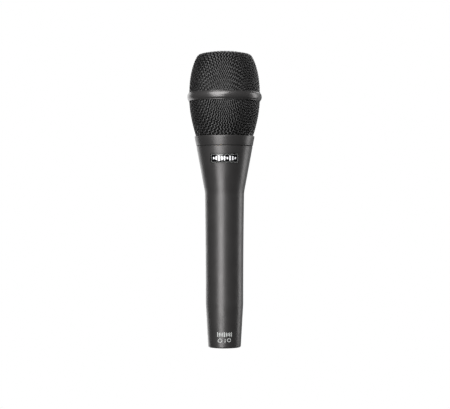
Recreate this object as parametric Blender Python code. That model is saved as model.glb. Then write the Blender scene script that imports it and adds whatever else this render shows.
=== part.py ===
"""Handheld vocal microphone with a twin-diaphragm capsule, standing upright on its tail.

Everything is in metres. +Z runs up the microphone's axis from the tail to the top of the grille, the origin is
the centre of the tail's rim, and the nameplate faces -Y. Turned pieces share that axis, so most of them are an
outline of (radius, height) corners spun about it.
"""
import math

import bmesh
import bpy
from mathutils import Vector

# ---- driving dimensions ----------------------------------------------------------------------------------
GAP = 0.0003            # clearance kept between pieces that touch
STEPS = 32              # sides of the large turned pieces
CAPSULE_STEPS = 24      # sides of the capsule's turned pieces
SMALL_STEPS = 12        # sides of screws, pins and small components

TAIL_RADIUS = 0.0105
TAIL_EDGE = 0.0009      # rounding of the tail's rim
TAIL_TAPER_TOP = 0.0278
GRIP_RADIUS = 0.01207
GRIP_TOP = 0.0966
GRIP_TOP_RADIUS = 0.01258
SHOULDER = 0.0996       # where the grip meets the cone
HANDLE_TOP = 0.12955
HANDLE_TOP_RADIUS = 0.01815

SOCKET_RADIUS = 0.0082  # the cable plug's nose goes in here
SOCKET_DEPTH = 0.0150
INSERT_SEAT_RADIUS = 0.0094
INSERT_SEAT_TOP = 0.0262
BORE_RADIUS = 0.0103
NECK_BORE_RADIUS = 0.0146
NECK_BORE_BOTTOM = 0.1190

PIN_RADIUS = 0.0012
PIN_CIRCLE = 0.0044
PIN_ANGLES = (25, 155, 270)     # degrees round +Z, for pins 1, 2 and 3
INSERT_TOP = 0.0250

THREAD_RADIUS = 0.0160
THREAD_DEPTH = 0.0004
THREAD_PITCH = 0.00125
COLLAR_BOTTOM = 0.12990
COLLAR_TOP = 0.13615
COLLAR_BORE = THREAD_RADIUS + 0.0004

GRILLE_RADIUS = 0.0229          # widest radius of the wire baskets, at the band
LOWER_RIM = 0.1350              # lower basket's bottom rim, inside the collar
BAND_BOTTOM, BAND_TOP = 0.1587, 0.1641
BAND_RADIUS = 0.02405
BASKET_SPLIT = (0.1593, 0.1630)  # the two baskets' rims, inside the band
GRILLE_TOP = 0.1910
BASKET_WALL = 0.0010
SCREEN_WALL = 0.0004
LINER_WALL = 0.0020
SCREEN_TUCK = 0.0054            # inner layers follow the lower basket this much lower, so it can rise 3.8 mm

PLATE_HEIGHTS = (0.1186, 0.1244)
PLATE_HALF_ANGLE = math.radians(33)
PLATE_DEPTH = 0.0006

BASE_RADIUS = 0.0123
BASE_FLOOR = (0.1315, 0.1335)
BASE_TOP = 0.1430
SWITCH_Z = 0.1387
SWITCH_TRAVEL = 0.0020
CARRIER_RADIUS = 0.0126
CARRIER_FLOOR = (0.1456, 0.1476)
CARRIER_LEDGE = 0.1627
CARRIER_TOP = 0.1680
CAPSULE_RADIUS = 0.0114
DIAPHRAGM_RADIUS = 0.0097
CLAMP_SCREW_CIRCLE = 0.0105
CLAMP_SCREWS = 6

BOARD_HALF_WIDTH = 0.0085
BOARD_HALF_THICKNESS = 0.0008
BOARD_HEIGHTS = (0.0360, 0.0960)
LEAD_RADIUS = 0.00045


# ---- materials -------------------------------------------------------------------------------------------
FINISHES = {                       # colour, roughness, metallic
    "charcoal_paint": ((0.060, 0.058, 0.057), 0.38, 0.75),
    "black_mesh": ((0.035, 0.033, 0.034), 0.45, 0.80),
    "plate_black": ((0.012, 0.012, 0.013), 0.15, 0.0),
    "black_plastic": ((0.015, 0.015, 0.016), 0.50, 0.0),
    "white_plastic": ((0.75, 0.74, 0.70), 0.45, 0.0),
    "rubber": ((0.020, 0.020, 0.020), 0.85, 0.0),
    "foam": ((0.025, 0.025, 0.026), 0.95, 0.0),
    "brass": ((0.60, 0.44, 0.20), 0.30, 1.0),
    "gold": ((0.83, 0.60, 0.22), 0.20, 1.0),
    "steel": ((0.45, 0.45, 0.46), 0.35, 1.0),
    "board_green": ((0.02, 0.10, 0.05), 0.50, 0.0),
    "capacitor_blue": ((0.03, 0.05, 0.16), 0.40, 0.0),
    "film_red": ((0.30, 0.03, 0.02), 0.40, 0.0),
    "lead_red": ((0.45, 0.03, 0.02), 0.50, 0.0),
    "lead_white": ((0.70, 0.70, 0.68), 0.50, 0.0),
    "lead_black": ((0.02, 0.02, 0.02), 0.50, 0.0),
}


def finish(name):
    """The material of that name, made the first time it is asked for."""
    found = bpy.data.materials.get(name)
    if found:
        return found
    colour, roughness, metallic = FINISHES[name]
    made = bpy.data.materials.new(name)
    made.use_nodes = True
    shader = made.node_tree.nodes["Principled BSDF"]
    shader.inputs["Base Color"].default_value = (*colour, 1)
    shader.inputs["Roughness"].default_value = roughness
    shader.inputs["Metallic"].default_value = metallic
    made.diffuse_color = (*colour, 1)
    return made


# ---- making shapes ---------------------------------------------------------------------------------------
def clear_scene():
    for old in list(bpy.data.objects):
        bpy.data.objects.remove(old, do_unlink=True)


def pivot(name, parent=None, place=(0, 0, 0)):
    """An empty on the axis of the pieces that move together."""
    empty = bpy.data.objects.new(name, None)
    bpy.context.collection.objects.link(empty)
    empty.parent = parent
    empty.location = place
    return empty


def add(name, mesh_data, finish_name, parent):
    made = bpy.data.objects.new(name, mesh_data)
    bpy.context.collection.objects.link(made)
    made.parent = parent
    if finish_name:
        mesh_data.materials.append(finish(finish_name))
    return made


def add_mesh(name, bm, finish_name, parent):
    """An object of this bmesh, with its faces pointing out and its round sides shaded smooth."""
    bmesh.ops.recalc_face_normals(bm, faces=bm.faces)
    mesh = bpy.data.meshes.new(name)
    bm.to_mesh(mesh)
    bm.free()
    mesh.shade_smooth()
    mesh.set_sharp_from_angle(angle=math.radians(35))
    return add(name, mesh, finish_name, parent)


def rounded(corners, arc_steps=3):
    """Outline points from corners (radius, height) or (radius, height, rounding): a rounding becomes an arc."""
    points = []
    for i, corner in enumerate(corners):
        here = Vector(corner[:2])
        if len(corner) == 2:
            points.append(here)
            continue
        back = (Vector(corners[i - 1][:2]) - here).normalized()
        ahead = (Vector(corners[(i + 1) % len(corners)][:2]) - here).normalized()
        half_angle = back.angle(ahead) / 2
        middle = here + (back + ahead).normalized() * corner[2] / math.sin(half_angle)
        start = here + back * corner[2] / math.tan(half_angle) - middle
        end = here + ahead * corner[2] / math.tan(half_angle) - middle
        sweep = start.angle(end)
        for step in range(arc_steps + 1):
            share = step / arc_steps
            weights = math.sin((1 - share) * sweep), math.sin(share * sweep)
            points.append(middle + (start * weights[0] + end * weights[1]) / math.sin(sweep))
    return points


def turned(name, corners, finish_name, parent, steps=STEPS):
    """A closed outline of corners spun about +Z. One that starts and ends on the axis is left open there."""
    outline = rounded(corners)
    bm = bmesh.new()
    verts = [bm.verts.new((r, 0, z)) for r, z in outline]
    follows = verts[1:] if outline[0][0] == 0 else verts[1:] + verts[:1]
    edges = [bm.edges.new(pair) for pair in zip(verts, follows)]
    bmesh.ops.spin(bm, geom=verts + edges, cent=(0, 0, 0), axis=(0, 0, 1), angle=2 * math.pi, steps=steps)
    bmesh.ops.remove_doubles(bm, verts=bm.verts, dist=1e-6)
    return add_mesh(name, bm, finish_name, parent)


def disc(name, radius, heights, finish_name, parent, steps=STEPS):
    bottom, top = heights
    return turned(name, [(0, bottom), (radius, bottom), (radius, top), (0, top)], finish_name, parent, steps)


def ring(name, radii, heights, finish_name, parent, steps=STEPS):
    (inner, outer), (bottom, top) = radii, heights
    corners = [(inner, bottom), (outer, bottom), (outer, top), (inner, top)]
    return turned(name, corners, finish_name, parent, steps)


def block(name, size, centre, finish_name, parent, bevel=0.0):
    bm = bmesh.new()
    bmesh.ops.create_cube(bm, size=1)
    bmesh.ops.scale(bm, vec=size, verts=bm.verts)
    if bevel:
        bmesh.ops.bevel(bm, geom=bm.edges, offset=bevel, segments=1, affect="EDGES")
    made = add_mesh(name, bm, finish_name, parent)
    made.location = centre
    return made


def can(name, radius, length, centre, finish_name, parent, axis="Z", edge=0.0003):
    """A short cylinder with chamfered ends, lying along axis."""
    half = length / 2
    corners = [(0, -half), (radius - edge, -half), (radius, edge - half),
               (radius, half - edge), (radius - edge, half), (0, half)]
    made = turned(name, corners, finish_name, parent, SMALL_STEPS)
    made.location = centre
    if axis == "Y":
        made.rotation_euler = (math.radians(90), 0, 0)
    return made


def smooth_route(points, samples):
    """Points spread along a Catmull-Rom curve through the given ones."""
    knots = [Vector(p) for p in points]
    knots = [2 * knots[0] - knots[1], *knots, 2 * knots[-1] - knots[-2]]
    spans = len(knots) - 3
    route = []
    for sample in range(samples + 1):
        along = sample / samples * spans
        span = min(int(along), spans - 1)
        t = along - span
        a, b, c, d = knots[span:span + 4]
        route.append((2 * b + (c - a) * t + (2 * a - 5 * b + 4 * c - d) * t * t
                      + (3 * b - a - 3 * c + d) * t ** 3) / 2)
    return route


def lead(name, points, samples, finish_name, parent):
    """An insulated wire along a smooth route."""
    curve = bpy.data.curves.new(name, "CURVE")
    curve.dimensions = "3D"
    curve.bevel_depth = LEAD_RADIUS
    curve.bevel_resolution = 1
    curve.use_fill_caps = True
    route = smooth_route(points, samples)
    spline = curve.splines.new("POLY")
    spline.points.add(len(route) - 1)
    for point, place in zip(spline.points, route):
        point.co = (*place, 1)
    return add(name, curve, finish_name, parent)


def cut(target, cutter):
    """Takes cutter out of target with a Boolean. The cutter itself is only a helper."""
    cutter.hide_render = True
    cutter.display_type = "WIRE"
    modifier = target.modifiers.new("cut_" + cutter.name, "BOOLEAN")
    modifier.operation = "DIFFERENCE"
    modifier.object = cutter


def hole_pattern(name, radius, places, heights, parent, sides=SMALL_STEPS):
    """One cutter with an upright cylinder at each (x, y) place."""
    bm = bmesh.new()
    bottom, top = heights
    for x, y in places:
        cylinder = bmesh.ops.create_cone(bm, cap_ends=True, segments=sides, radius1=radius,
                                         radius2=radius, depth=top - bottom)
        bmesh.ops.translate(bm, verts=cylinder["verts"], vec=(x, y, (top + bottom) / 2))
    return add_mesh(name, bm, None, parent)


def around(radius, degrees):
    """The (x, y) point at that radius and angle round the axis."""
    return radius * math.cos(math.radians(degrees)), radius * math.sin(math.radians(degrees))


# ---- profiles that several pieces follow -----------------------------------------------------------------
def grip_radius(z):
    """The grip flares gently towards the shoulder."""
    share = (z - TAIL_TAPER_TOP) / (GRIP_TOP - TAIL_TAPER_TOP)
    return GRIP_RADIUS + (GRIP_TOP_RADIUS - GRIP_RADIUS) * share ** 2


def cone_radius(z):
    share = (z - SHOULDER) / (HANDLE_TOP - SHOULDER)
    return GRIP_TOP_RADIUS + (HANDLE_TOP_RADIUS - GRIP_TOP_RADIUS) * share


def lower_basket_radius(z):
    """The lower basket bellies out from the collar to the band. The law works in millimetres below the band."""
    return GRILLE_RADIUS - 0.0000173 * max(0.0, (0.160 - z) * 1000) ** 1.744


def upper_basket_radius(z):
    """The upper basket's side leans in ever faster above the band."""
    return GRILLE_RADIUS - 0.00000081 * max(0.0, (z - 0.161) * 1000) ** 2.655


def dome_corners(inset, bottom, steps):
    """Corners of the upper basket's surface, inset by a distance, from its bottom rim to the axis."""
    side_top = 0.1850 - inset * 0.6
    corners = []
    for step in range(steps + 1):
        z = bottom + (side_top - bottom) * step / steps
        corners.append((upper_basket_radius(z) - inset, z))
    edge = (0.0174 - inset, 0.1890 - inset)
    corners.append((*edge, 0.0042) if inset == 0 else edge)
    corners.append((0.0080, 0.19058 - inset))
    corners.append((0.0, GRILLE_TOP - inset))
    return corners


def belly_corners(inset, bottom, top, steps, tuck=0.0):
    """Corners of the lower basket's surface, inset by a distance, from bottom to top. With a tuck they follow
    the surface that much lower down, where it is narrower."""
    heights = [bottom + (top - bottom) * step / steps for step in range(steps + 1)]
    return [(lower_basket_radius(z - tuck) - inset, z) for z in heights]


def cone_panel(name, half_angle, heights, insets, steps, finish_name, parent):
    """A curved slab that follows the handle's cone, centred on -Y, between two insets from its surface."""
    bm = bmesh.new()
    grid = []
    for inset in insets:
        for z in heights:
            row = []
            for step in range(steps + 1):
                angle = -math.pi / 2 + half_angle * (2 * step / steps - 1)
                radius = cone_radius(z) - inset
                row.append(bm.verts.new((radius * math.cos(angle), radius * math.sin(angle), z)))
            grid.append(row)
    rings = [grid[0], grid[1], grid[3], grid[2]]        # round the slab's upright section
    for i, row in enumerate(rings):
        after = rings[(i + 1) % 4]
        for step in range(steps):
            bm.faces.new((row[step], row[step + 1], after[step + 1], after[step]))
    for end in (0, -1):
        bm.faces.new([row[end] for row in rings])
    return add_mesh(name, bm, finish_name, parent)


# ---- handle ----------------------------------------------------------------------------------------------
def handle_shell(body):
    grip_heights = [TAIL_TAPER_TOP + (GRIP_TOP - TAIL_TAPER_TOP) * share for share in (0.5, 0.75, 1.0)]
    corners = [
        (SOCKET_RADIUS, 0),
        (TAIL_RADIUS, 0, TAIL_EDGE),
        (GRIP_RADIUS, TAIL_TAPER_TOP, 0.030),
        *[(grip_radius(z), z) for z in grip_heights],
        (GRIP_TOP_RADIUS, SHOULDER, 0.022),
        (HANDLE_TOP_RADIUS, HANDLE_TOP),
        (NECK_BORE_RADIUS, HANDLE_TOP),
        (NECK_BORE_RADIUS, NECK_BORE_BOTTOM),
        (NECK_BORE_RADIUS - 0.0007, NECK_BORE_BOTTOM),
        (BORE_RADIUS, SHOULDER - 0.001),
        (BORE_RADIUS, INSERT_SEAT_TOP),
        (INSERT_SEAT_RADIUS, INSERT_SEAT_TOP),
        (INSERT_SEAT_RADIUS, SOCKET_DEPTH),
        (SOCKET_RADIUS, SOCKET_DEPTH),
    ]
    shell = turned("handle_shell", corners, "charcoal_paint", body)
    pocket_heights = (PLATE_HEIGHTS[0] - GAP, PLATE_HEIGHTS[1] + GAP)
    pocket_angle = PLATE_HALF_ANGLE + GAP / cone_radius(PLATE_HEIGHTS[0])
    cut(shell, cone_panel("plate_pocket", pocket_angle, pocket_heights, (PLATE_DEPTH + 2 * GAP, -0.002), 12,
                          None, body))
    cut(shell, block("key_slot", (0.0028, 0.0020, 0.0130), (0, 0.0083, 0.0055), None, body))
    cut(shell, can("set_screw_hole", 0.0015, 0.0050, (0, 0.0105, 0.0200), None, body, "Y"))


def nameplate(body):
    cone_panel("nameplate", PLATE_HALF_ANGLE, PLATE_HEIGHTS, (PLATE_DEPTH + 0.0002, 0.00015), 12,
               "plate_black", body)


def connector(body):
    """The tail's three-pin connector: an insert seated from above, its pins and the screw that locks it."""
    insert = turned("connector_insert", [
        (0, SOCKET_DEPTH + GAP), (0.0091, SOCKET_DEPTH + GAP), (0.0091, INSERT_TOP, 0.0006), (0, INSERT_TOP),
    ], "black_plastic", body, CAPSULE_STEPS)
    places = [around(PIN_CIRCLE, angle) for angle in PIN_ANGLES]
    cut(insert, hole_pattern("pin_holes", PIN_RADIUS + GAP, places, (0.0140, 0.0260), body))
    cut(insert, can("screw_dimple", 0.0015, 0.0030, (0, 0.0085, 0.0200), None, body, "Y"))
    for number, (x, y) in enumerate(places, 1):
        pin = turned(f"contact_pin_{number}", [
            (0, 0.0012), (PIN_RADIUS, 0.0012, 0.0008), (PIN_RADIUS, 0.0285), (0.0007, 0.0285),
            (0.0007, 0.0265), (0, 0.0265),
        ], "gold", body, SMALL_STEPS)
        pin.location = (x, y, 0)
    screw = turned("connector_lock_screw", [
        (0, 0), (0.0012, 0, 0.0003), (0.0012, 0.0036), (0.0007, 0.0036), (0.0007, 0.0024), (0, 0.0024),
    ], "steel", body, SMALL_STEPS)
    screw.location = (0, 0.0076, 0.0200)
    screw.rotation_euler = (math.radians(-90), 0, 0)


def board_assembly(body):
    """The amplifier board inside the grip, its two supports and the parts soldered to it."""
    bottom, top = BOARD_HEIGHTS
    block("circuit_board", (2 * BOARD_HALF_WIDTH, 2 * BOARD_HALF_THICKNESS, top - bottom),
          (0, 0, (top + bottom) / 2), "board_green", body)
    slot_size = (2 * (BOARD_HALF_WIDTH + GAP), 2 * (BOARD_HALF_THICKNESS + GAP), 0.006)
    for name, z in (("board_support_lower", 0.0455), ("board_support_upper", 0.0875)):
        support = disc(name, BORE_RADIUS - GAP, (z - 0.0015, z + 0.0015), "black_plastic", body, CAPSULE_STEPS)
        cut(support, block(name + "_slot", slot_size, (0, 0, z), None, body))

    def on_board(depth, side=-1):
        """The y of a component of that depth that stands on the board's front (-1) or back (1)."""
        return side * (BOARD_HALF_THICKNESS + GAP + depth / 2)

    block("capsule_header", (0.009, 0.0024, 0.004), (0, on_board(0.0024), 0.0925), "white_plastic", body)
    block("output_header", (0.009, 0.0024, 0.004), (0, on_board(0.0024), 0.0392), "white_plastic", body)
    for number, side in ((1, -1), (2, 1)):
        can(f"electrolytic_capacitor_{number}", 0.0025, 0.009, (side * 0.0042, on_board(0.005), 0.0790),
            "capacitor_blue", body)
        block(f"film_capacitor_{number}", (0.0070, 0.0045, 0.0095), (side * 0.0040, on_board(0.0045), 0.0660),
              "film_red", body, 0.0004)
    block("amplifier_chip", (0.0060, 0.0016, 0.0050), (0.0035, on_board(0.0016), 0.0550), "black_plastic", body)
    can("input_transistor", 0.0023, 0.0036, (-0.0045, on_board(0.0036), 0.0550), "steel", body, "Y")
    block("bias_converter", (0.0090, 0.0050, 0.0090), (0, on_board(0.0050, 1), 0.0740), "black_plastic", body,
          0.0004)
    half_round = [around(BORE_RADIUS - GAP, angle) for angle in range(10, 171, 20)]
    extruded("damping_foam", half_round, (0.0520, 0.0640), "foam", body)


def extruded(name, outline, heights, finish_name, parent):
    """A flat (x, y) outline raised from the lower height to the upper one."""
    bm = bmesh.new()
    face = bm.faces.new([bm.verts.new((x, y, heights[0])) for x, y in outline])
    raised = bmesh.ops.extrude_face_region(bm, geom=[face])
    top = [v for v in raised["geom"] if isinstance(v, bmesh.types.BMVert)]
    bmesh.ops.translate(bm, verts=top, vec=(0, 0, heights[1] - heights[0]))
    return add_mesh(name, bm, finish_name, parent)


def ground_spring(body):
    """A bowed strip that grounds the board's edge to the handle, drawn flat and stood up beside the board."""
    outline = [(-0.005, 0.0), (-0.005, 0.0003), (0, 0.0010), (0.005, 0.0003), (0.005, 0.0), (0, 0.0007)]
    spring = extruded("ground_spring", outline, (-0.0015, 0.0015), "brass", body)
    spring.rotation_euler = (math.radians(90), math.radians(90), 0)
    spring.location = (BOARD_HALF_WIDTH + GAP, 0, 0.0560)


def output_leads(body):
    """Short wires from the board's lower header to the connector's solder cups."""
    headers = (0.003, -0.003, 0)
    colours = ("lead_black", "lead_red", "lead_white")
    for number, (angle, header_x, colour) in enumerate(zip(PIN_ANGLES, headers, colours), 1):
        x, y = around(PIN_CIRCLE, angle)
        lead(f"output_lead_{number}", [(header_x, -0.0023, 0.0369), (header_x, -0.0023, 0.0345), (x, y, 0.0312),
                                       (x, y, 0.0288)], 9, colour, body)


# ---- neck and capsule base -------------------------------------------------------------------------------
def neck_ring(body):
    """Sleeve pressed into the handle, with the thread that the grille screws onto and a web for the base."""
    ridges = []
    for turn in range(3):
        z = HANDLE_TOP + 0.0016 + turn * THREAD_PITCH
        ridges.append((THREAD_RADIUS, z))
        ridges.append((THREAD_RADIUS - THREAD_DEPTH, z + THREAD_PITCH / 2))
    neck = turned("neck_ring", [
        (0.0129, 0.1195), (NECK_BORE_RADIUS - GAP, 0.1195), (NECK_BORE_RADIUS - GAP, HANDLE_TOP + GAP),
        (THREAD_RADIUS - THREAD_DEPTH, HANDLE_TOP + GAP), *ridges, (THREAD_RADIUS - THREAD_DEPTH, 0.1352),
        (BASE_RADIUS + GAP, 0.1352), (BASE_RADIUS + GAP, 0.1312), (0.0060, 0.1312), (0.0060, 0.1280),
        (0.0129, 0.1280),
    ], "brass", body, CAPSULE_STEPS)
    cut(neck, hole_pattern("neck_screw_holes", 0.0012, base_screw_places(), (0.1270, 0.1320), body, 8))


def base_screw_places():
    return [around(0.0083, angle) for angle in (30, 150, 270)]


def capsule_base(body):
    """Cup screwed to the neck, with the pattern switch in its front and the shock mount on its rim."""
    base = turned("capsule_base", [
        (0.0035, BASE_FLOOR[0]), (BASE_RADIUS, BASE_FLOOR[0]), (BASE_RADIUS, BASE_TOP), (0.0102, BASE_TOP),
        (0.0102, BASE_FLOOR[1]), (0.0035, BASE_FLOOR[1]),
    ], "black_plastic", body)
    cut(base, hole_pattern("base_screw_holes", 0.0012, base_screw_places(), (0.1310, 0.1340), body, 8))
    cut(base, block("switch_pocket", (0.0086, 0.0050, 0.0050), (0, -0.0111, SWITCH_Z), None, body))
    for number, (x, y) in enumerate(base_screw_places(), 1):
        screw = turned(f"base_screw_{number}", [
            (0, 0.1286), (0.0009, 0.1286), (0.0009, BASE_FLOOR[1] + GAP), (0.0017, BASE_FLOOR[1] + GAP),
            (0.0017, 0.1348), (0.0007, 0.1348), (0.0007, 0.1342), (0, 0.1342),
        ], "steel", body, 8)
        screw.location = (x, y, 0)


def pattern_switch(base_body, slider_body):
    """Two-position slide switch that faces -Y under the grille."""
    housing = block("pattern_switch_body", (0.0080, 0.0032, 0.0044), (0, -0.0105, SWITCH_Z), "black_plastic",
                    base_body, 0.0002)
    cut(housing, block("switch_slot", (0.0048, 0.0032, 0.0020), (0, -0.0121, SWITCH_Z), None, base_body))
    block("pattern_switch_slider", (0.0020, 0.0024, 0.0014), (0, -0.0010, 0), "white_plastic", slider_body,
          0.0002)


def shock_mount(body):
    turned("shock_mount", [
        (0.0060, 0.1433), (0.0078, 0.1433), (0.0090, 0.1424), (0.0098, 0.1433), (BASE_RADIUS, 0.1433),
        (BASE_RADIUS, 0.1453), (0.0100, 0.1453), (0.0090, 0.1445), (0.0080, 0.1453), (0.0060, 0.1453),
    ], "rubber", body, CAPSULE_STEPS)


# ---- capsule ---------------------------------------------------------------------------------------------
def capsule_carrier(body):
    """Floating cradle: a hollow stem snapped through the shock mount and a cup with windows for the rear."""
    bore = CAPSULE_RADIUS + 0.00035
    carrier = turned("capsule_carrier", [
        (0.0040, 0.1400), (0.0070, 0.1400), (0.0070, 0.1410), (0.0057, 0.1413), (0.0057, CARRIER_FLOOR[0]),
        (CARRIER_RADIUS, CARRIER_FLOOR[0]), (CARRIER_RADIUS, CARRIER_TOP), (bore, CARRIER_TOP),
        (bore, CARRIER_LEDGE), (0.0110, CARRIER_LEDGE), (0.0110, CARRIER_FLOOR[1]), (0.0040, CARRIER_FLOOR[1]),
    ], "black_plastic", body, CAPSULE_STEPS)
    for name, size in (("windows_x", (0.030, 0.009, 0.009)), ("windows_y", (0.009, 0.030, 0.009))):
        cut(carrier, block(name, size, (0, 0, 0.1545), None, body))


def capsule(body):
    """The twin-diaphragm stack, bottom to top, each layer a gap above the last, and the screws that clamp it."""
    layers = (      # name, inner radius, outer radius, thickness, finish
        ("rear_clamp_ring", 0.0086, CAPSULE_RADIUS, 0.0012, "brass"),
        ("rear_diaphragm", 0, DIAPHRAGM_RADIUS, 0.0002, "gold"),
        ("rear_backplate", 0, CAPSULE_RADIUS, 0.0020, "brass"),
        ("capsule_spacer", 0.0070, CAPSULE_RADIUS, 0.0030, "white_plastic"),
        ("front_backplate", 0, CAPSULE_RADIUS, 0.0020, "brass"),
        ("front_diaphragm", 0, DIAPHRAGM_RADIUS, 0.0002, "gold"),
        ("front_clamp_ring", 0.0086, CAPSULE_RADIUS, 0.0012, "brass"),
    )
    places = [around(CLAMP_SCREW_CIRCLE, 360 * n / CLAMP_SCREWS) for n in range(CLAMP_SCREWS)]
    holes = hole_pattern("clamp_screw_holes", 0.0007, places, (0.1712, 0.1760), body, 8)
    z = CARRIER_LEDGE + GAP
    for name, inner, outer, thickness, finish_name in layers:
        heights = (z, z + thickness)
        if inner:
            made = ring(name, (inner, outer), heights, finish_name, body, CAPSULE_STEPS)
        else:
            made = disc(name, outer, heights, finish_name, body, CAPSULE_STEPS)
        if name in ("front_backplate", "front_clamp_ring"):
            cut(made, holes)
        z += thickness + GAP
    for number, (x, y) in enumerate(places, 1):
        screw = turned(f"clamp_screw_{number}", [
            (0, 0.1716), (0.0004, 0.1716), (0.0004, z), (0.00085, z), (0.00085, z + 0.0004), (0.0006, z + 0.0006),
            (0, z + 0.0006),
        ], "steel", body, 8)
        screw.location = (x, y, 0)


def capsule_leads(body):
    """Three wires from the capsule's rear ring, down the carrier's stem and the neck, to the board's header."""
    for number, (name, angle) in enumerate((("front_lead", 150), ("ground_lead", 270), ("rear_lead", 30))):
        x, y = around(0.0099, angle)
        mid_x, mid_y = around(0.0060, angle)
        stem_x, stem_y = around(0.0019, angle)
        header_x = (number - 1) * 0.003
        lead(name, [(x, y, 0.1627), (x, y, 0.1595), (mid_x, mid_y, 0.1510), (stem_x, stem_y, 0.1455),
                    (stem_x, stem_y, 0.1330), (stem_x, stem_y, 0.1180), (header_x, -0.0022, 0.1020),
                    (header_x, -0.0023, 0.0948)], 18, ("lead_red", "lead_black", "lead_white")[number], body)


# ---- grille ----------------------------------------------------------------------------------------------
def collar(body):
    """The grille's threaded collar. Its open top holds the lower basket's rim."""
    slot = LOWER_RIM - GAP
    turned("grille_collar", [
        (0.0175, COLLAR_BOTTOM), (0.01825, COLLAR_BOTTOM), (0.01942, COLLAR_TOP, 0.00045),
        (lower_basket_radius(COLLAR_TOP) + GAP, COLLAR_TOP), (lower_basket_radius(slot) + GAP, slot),
        (COLLAR_BORE, slot), (COLLAR_BORE, COLLAR_BOTTOM + 0.0010), (0.0175, COLLAR_BOTTOM + 0.0010),
    ], "charcoal_paint", body)


def seal_ring(body):
    """Rubber ring in the collar's recess, which rests on the handle's top face."""
    heights = (HANDLE_TOP + 0.0001, COLLAR_BOTTOM + 0.0007)
    ring("seal_ring", (COLLAR_BORE + 0.0001, 0.0172), heights, "rubber", body)


def band(body):
    """The ring round the grille's waist: a bead outside, and a web inside that parts the two baskets."""
    bulge = BAND_RADIUS - GRILLE_RADIUS
    half = (BAND_TOP - BAND_BOTTOM) / 2
    sweep_radius = (half ** 2 + bulge ** 2) / (2 * bulge)
    middle = (BAND_TOP + BAND_BOTTOM) / 2
    bead = []
    for step in range(7):
        rise = half * (step / 3 - 1)
        bead.append((BAND_RADIUS - sweep_radius + math.sqrt(sweep_radius ** 2 - rise ** 2), middle + rise))
    bead[0] = (GRILLE_RADIUS + 0.0004, BAND_BOTTOM)
    bead[-1] = (GRILLE_RADIUS + 0.0004, BAND_TOP)
    seat = GRILLE_RADIUS + 0.0002
    turned("grille_band", [
        (seat, BAND_BOTTOM), *bead, (seat, BAND_TOP), (seat, BASKET_SPLIT[1] - GAP),
        (GRILLE_RADIUS - BASKET_WALL, BASKET_SPLIT[1] - GAP),
        (GRILLE_RADIUS - BASKET_WALL, BASKET_SPLIT[0] + GAP),
        (seat, BASKET_SPLIT[0] + GAP),
    ], "charcoal_paint", body)


def inward(corners, thickness_corners):
    """A closed shell outline: up the outer corners and back down the inner ones."""
    return [*corners, *reversed(thickness_corners)]


def baskets(body):
    """The outer wire baskets, as plain shells of the woven wire's thickness."""
    turned("upper_basket", inward(dome_corners(0, BASKET_SPLIT[1], 4),
                                  dome_corners(BASKET_WALL, BASKET_SPLIT[1], 3)), "black_mesh", body)
    turned("lower_basket", inward(belly_corners(0, LOWER_RIM, BASKET_SPLIT[0], 4),
                                  belly_corners(BASKET_WALL, LOWER_RIM, BASKET_SPLIT[0], 4)), "black_mesh", body)


def windscreen(body):
    """The fine screens behind the baskets, and the foam cap inside them. They don't turn with the baskets."""
    near, far = BASKET_WALL + GAP, BASKET_WALL + GAP + SCREEN_WALL
    bottom = LOWER_RIM + 0.0005
    turned("upper_screen", inward(dome_corners(near, BASKET_SPLIT[1], 2),
                                  dome_corners(far, BASKET_SPLIT[1], 2)), "steel", body)
    turned("lower_screen", inward(belly_corners(near, bottom, BASKET_SPLIT[0], 3, SCREEN_TUCK),
                                  belly_corners(far, bottom, BASKET_SPLIT[0], 3, SCREEN_TUCK)), "steel", body)
    near = far + 2 * GAP
    far = near + LINER_WALL
    bottom, waist = LOWER_RIM + 0.0050, 0.1600
    outer = belly_corners(near, bottom, waist, 2, SCREEN_TUCK) + dome_corners(near, BASKET_SPLIT[1], 2)
    inner = belly_corners(far, bottom, waist, 2, SCREEN_TUCK) + dome_corners(far, BASKET_SPLIT[1], 2)
    turned("windscreen_liner", inward(outer, inner), "foam", body)


# ---- the whole microphone --------------------------------------------------------------------------------
def build():
    clear_scene()
    handle_body = pivot("handle_body")
    capsule_body = pivot("capsule_body", handle_body)
    slider_body = pivot("slider_body", handle_body, (-SWITCH_TRAVEL / 2, -0.01105, SWITCH_Z))
    windscreen_body = pivot("windscreen_body", handle_body)
    seal_body = pivot("seal_body", windscreen_body)
    grille_body = pivot("grille_body", seal_body)

    handle_shell(handle_body)
    nameplate(handle_body)
    connector(handle_body)
    board_assembly(handle_body)
    ground_spring(handle_body)
    output_leads(handle_body)
    neck_ring(handle_body)
    capsule_base(handle_body)
    pattern_switch(handle_body, slider_body)
    shock_mount(handle_body)
    capsule_leads(handle_body)

    capsule_carrier(capsule_body)
    capsule(capsule_body)

    windscreen(windscreen_body)
    seal_ring(seal_body)
    collar(grille_body)
    band(grille_body)
    baskets(grille_body)


build()
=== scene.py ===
"""Looks of a handheld vocal microphone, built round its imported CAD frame.

Lengths are in millimetres until a piece is made, when MM turns them into metres. +Z runs up the microphone's axis
from the tail's rim, and the nameplate faces -Y. An azimuth is in degrees from -Y, positive towards +X.
"""
import math

import bmesh
import bpy
import numpy as np
from mathutils import Matrix, Vector, noise


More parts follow.
